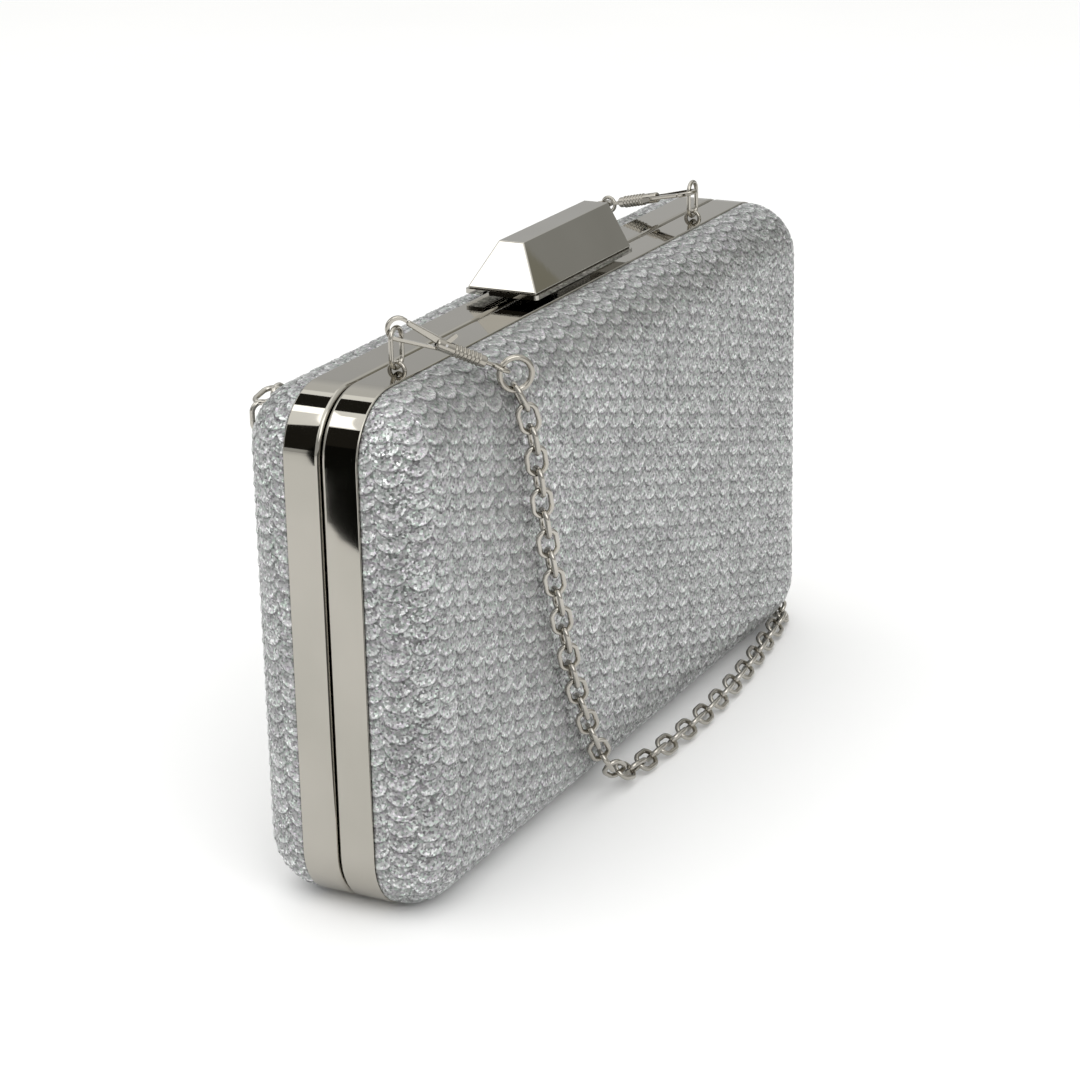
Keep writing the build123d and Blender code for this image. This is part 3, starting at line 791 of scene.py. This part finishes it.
def add_reflection_cards():
    """Light and dark glowing cards round the object, for the bands, the knob and the seam lips to mirror:
    painted reflections, unseen by the camera and by diffuse light.
    """
    white = (3.2, 3.2, 3.2)
    black = (0.006, 0.006, 0.005)
    brown = (0.022, 0.020, 0.016)
    olive = (0.34, 0.33, 0.27)
    shade = (0.12, 0.12, 0.11)
    grey = (0.42, 0.42, 0.40)
    # white cards: bright painted reflections on the band corners
    strip = [(-0.177, 0.064), (-0.129, 0.051), (-0.129, 0.0605), (-0.177, 0.074)]
    add_reflection_card("strip_card", [(x, y, 0.201) for x, y in strip], white)
    add_reflection_card("knob_card", level_quad(-0.133, -0.110, 0.055, 0.084, 0.201), white)
    # brown and black cards: dark painted reflections in the band corners
    add_reflection_card("dark_top_card", level_quad(-0.116, -0.060, 0.042, 0.088, 0.221), brown)
    add_reflection_card("dark_side_card", upright_quad(-0.250, 0.060, 0.135, 0.112, 0.280), brown)
    low_edge = [(0.056, 0.029), (0.064, 0.0295), (0.070, 0.0325), (0.0745, 0.0375)]
    high_edge = [(0.0745, 0.140), (0.056, 0.140)]
    add_reflection_card("dark_edge_card", [(-0.221, y, z) for y, z in low_edge + high_edge], black)
    # olive card: painted olive reflection on the knob's front facet
    facet = [(0.060, 0.110), (0.150, 0.110), (0.178, 0.230), (0.060, 0.230)]
    add_reflection_card("facet_card", [(x, -0.095, z) for x, z in facet], olive)
    # painted shade mirrored on the seam lips at the left end
    add_reflection_card("seam_end_card", front_quad(-0.045, -0.180, -0.112, 0.0, 0.100), shade)
    # grey card: painted grey reflection from the right front
    grey_patch_corners = [(0.51, -0.61, 0.06), (0.80, -0.07, 0.06), (0.80, -0.07, 0.55), (0.51, -0.61, 0.55)]
    add_reflection_card("grey_reflection_card", grey_patch_corners, grey)


def add_area_light(name, place, size, power):
    """Square lamp turned to the object."""
    data = bpy.data.lights.new(name, "AREA")
    data.shape = "SQUARE"
    data.size = size
    data.energy = power
    light = bpy.data.objects.new(name, data)
    light.location = place
    light.rotation_euler = (Vector(LIT_PLACE) - Vector(place)).to_track_quat("-Z", "Y").to_euler()
    bpy.context.scene.collection.objects.link(light)


def add_world():
    """Pale surroundings, brighter overhead, with an even backdrop for the camera."""
    world = bpy.data.worlds.new("studio")
    world.use_nodes = True
    tree = world.node_tree
    nodes = tree.nodes
    background = nodes["Background"]
    coordinate = nodes.new("ShaderNodeTexCoord")
    split = nodes.new("ShaderNodeSeparateXYZ")
    ramp = nodes.new("ShaderNodeValToRGB")
    tree.links.new(coordinate.outputs["Generated"], split.inputs[0])
    tree.links.new(split.outputs[2], ramp.inputs[0])
    elements = ramp.color_ramp.elements
    while len(elements) < len(SKY_STOPS):
        elements.new(1.0)
    for element, (place, shade) in zip(elements, SKY_STOPS):
        element.position = place
        element.color = (shade, shade, shade * SKY_WARMTH, 1)
    light_path = nodes.new("ShaderNodeLightPath")
    mix = nodes.new("ShaderNodeMixRGB")
    mix.inputs[2].default_value = BACKDROP
    tree.links.new(light_path.outputs["Is Camera Ray"], mix.inputs[0])
    tree.links.new(ramp.outputs[0], mix.inputs[1])
    tree.links.new(mix.outputs[0], background.inputs["Color"])
    background.inputs["Strength"].default_value = 1.0
    bpy.context.scene.world = world


def add_camera():
    """Camera at the pictured angle, level shift and roll included."""
    data = bpy.data.cameras.new("camera")
    data.sensor_width = 36.0
    data.lens = CAMERA_LENS
    data.shift_x, data.shift_y = CAMERA_SHIFT
    data.clip_start = 0.02
    data.clip_end = 20.0
    back = Vector((
        math.sin(CAMERA_AZIMUTH) * math.cos(CAMERA_ELEVATION),
        -math.cos(CAMERA_AZIMUTH) * math.cos(CAMERA_ELEVATION),
        math.sin(CAMERA_ELEVATION),
    ))
    right = (-back).cross(Vector((0, 0, 1))).normalized()
    up = right.cross(-back)
    cosine, sine = math.cos(CAMERA_ROLL), math.sin(CAMERA_ROLL)
    turned_right = right * cosine + up * sine
    turned_up = up * cosine - right * sine
    camera = bpy.data.objects.new("camera", data)
    camera.matrix_world = Matrix((
        (turned_right.x, turned_up.x, back.x, 0),
        (turned_right.y, turned_up.y, back.y, 0),
        (turned_right.z, turned_up.z, back.z, 0),
        (0, 0, 0, 1),
    ))
    camera.location = CAMERA_TARGET + back * CAMERA_DISTANCE
    bpy.context.scene.collection.objects.link(camera)
    bpy.context.scene.camera = camera


def build():
    """Puts the whole picture together."""
    add_camera()
    pieces = add_chain()
    declare_chain(pieces)
    dress_frame()
    add_covers()
    add_linings()
    add_pocket()
    add_floor()
    add_reflection_cards()
    add_world()
    add_area_light("key_light", *KEY_LIGHT)
    add_area_light("fill_light", *FILL_LIGHT)
    bpy.context.scene.view_settings.view_transform = "Standard"


build()
